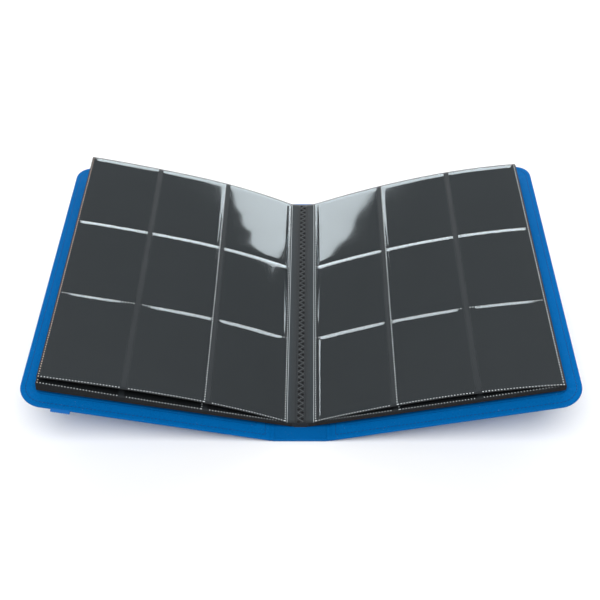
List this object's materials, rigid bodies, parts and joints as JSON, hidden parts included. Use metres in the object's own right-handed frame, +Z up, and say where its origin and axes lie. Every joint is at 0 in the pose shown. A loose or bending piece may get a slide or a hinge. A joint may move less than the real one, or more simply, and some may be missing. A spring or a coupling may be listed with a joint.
{
  "type": "trading card binder",
  "caption": "Side-loading trading card binder lying open: stitched leatherette covers hinged on a flat spine, sewn-in leaves of clear film pockets, and an elastic closure strap.",
  "frame": {"origin": "under the middle of the spine, on the surface the binder lies on", "axes": "+X across the spread to the back cover, +Y along the spine to the far end, +Z up"},
  "size_m": [0.4832, 0.3148, 0.0788],
  "materials": {
    "leatherette": "fine pebble grain, satin, bright blue",
    "grey_board": "uncoated grey board",
    "lining": "matte blue lining sheet with a fine grain",
    "cover_thread": "twisted blue thread in even stitches",
    "binding_tape": "black woven tape",
    "leaf_fabric": "black non-woven backing with a light emboss",
    "clear_film": "clear glossy film, slightly wavy, heat-welded along dotted lines",
    "seam_thread": "thick black sewing thread",
    "elastic": "ribbed woven elastic"
  },
  "bodies": {
    "spine": {"spine_skin": "leatherette", "spine_board": "grey_board", "spine_lining": "lining", "front_hinge": "leatherette", "back_hinge": "leatherette", "binding_strip": "binding_tape", "gutter_folds": "leaf_fabric", "gutter_seam": "seam_thread"},
    "front_cover": {"front_skin": "leatherette", "front_board": "grey_board", "front_lining": "lining", "front_stitching": "cover_thread", "strap_ends": "elastic"},
    "back_cover": {"back_skin": "leatherette", "back_board": "grey_board", "back_lining": "lining", "back_stitching": "cover_thread"},
    "strap": {"strap_band": "elastic"},
    "front_leaves": {"front_leaf_1": "leaf_fabric", "front_leaf_2": "leaf_fabric", "front_leaf_3": "leaf_fabric", "front_leaf_4": "leaf_fabric", "front_leaf_5": "leaf_fabric", "front_leaf_6": "leaf_fabric", "front_leaf_7": "leaf_fabric", "front_leaf_8": "leaf_fabric", "front_leaf_9": "leaf_fabric", "front_films_1": "clear_film", "front_films_2": "clear_film", "front_films_3": "clear_film", "front_films_4": "clear_film", "front_films_5": "clear_film", "front_films_6": "clear_film", "front_films_7": "clear_film", "front_films_8": "clear_film", "front_films_9": "clear_film"},
    "front_top_leaf": {"front_leaf_10": "leaf_fabric", "front_films_10": "clear_film"},
    "back_leaves": {"back_leaf_1": "leaf_fabric", "back_leaf_2": "leaf_fabric", "back_leaf_3": "leaf_fabric", "back_leaf_4": "leaf_fabric", "back_leaf_5": "leaf_fabric", "back_leaf_6": "leaf_fabric", "back_leaf_7": "leaf_fabric", "back_leaf_8": "leaf_fabric", "back_leaf_9": "leaf_fabric", "back_films_1": "clear_film", "back_films_2": "clear_film", "back_films_3": "clear_film", "back_films_4": "clear_film", "back_films_5": "clear_film", "back_films_6": "clear_film", "back_films_7": "clear_film", "back_films_8": "clear_film", "back_films_9": "clear_film"},
    "back_top_leaf": {"back_leaf_10": "leaf_fabric", "back_films_10": "clear_film"}
  },
  "joints": [
    {"name": "front_cover_hinge", "type": "hinge", "parent": "spine", "child": "front_cover", "pos_m": [-0.026, 0, 0.0016], "axis": [0, -1, 0], "range_deg": [-74, 13.5]},
    {"name": "back_cover_hinge", "type": "hinge", "parent": "spine", "child": "back_cover", "pos_m": [0.026, 0, 0.0016], "axis": [0, 1, 0], "range_deg": [-74, 13.5]},
    {"name": "front_leaves_swing", "type": "hinge", "parent": "spine", "child": "front_leaves", "pos_m": [-0.004, 0, 0.00668], "axis": [0, -1, 0], "range_deg": [-71, 13.2]},
    {"name": "back_leaves_swing", "type": "hinge", "parent": "spine", "child": "back_leaves", "pos_m": [0.004, 0, 0.00668], "axis": [0, 1, 0], "range_deg": [-71, 13.2]},
    {"name": "front_leaf_turn", "type": "hinge", "parent": "front_leaves", "child": "front_top_leaf", "pos_m": [0, 0, 0.0096], "axis": [0, 1, 0], "range_deg": [0, 140]},
    {"name": "back_leaf_turn", "type": "hinge", "parent": "back_leaves", "child": "back_top_leaf", "pos_m": [0, 0, 0.0096], "axis": [0, -1, 0], "range_deg": [0, 140]},
    {"name": "strap_pull", "type": "slide", "parent": "front_cover", "child": "strap", "axis": [0.2588, 0, 0.9659], "range_m": [-0.025, 0], "stiffness_N_per_m": 120}
  ],
  "couplings": [
    {"joint": "front_leaves_swing", "follows": "front_cover_hinge", "ratio": 0.951},
    {"joint": "back_leaves_swing", "follows": "back_cover_hinge", "ratio": 0.951}
  ]
}
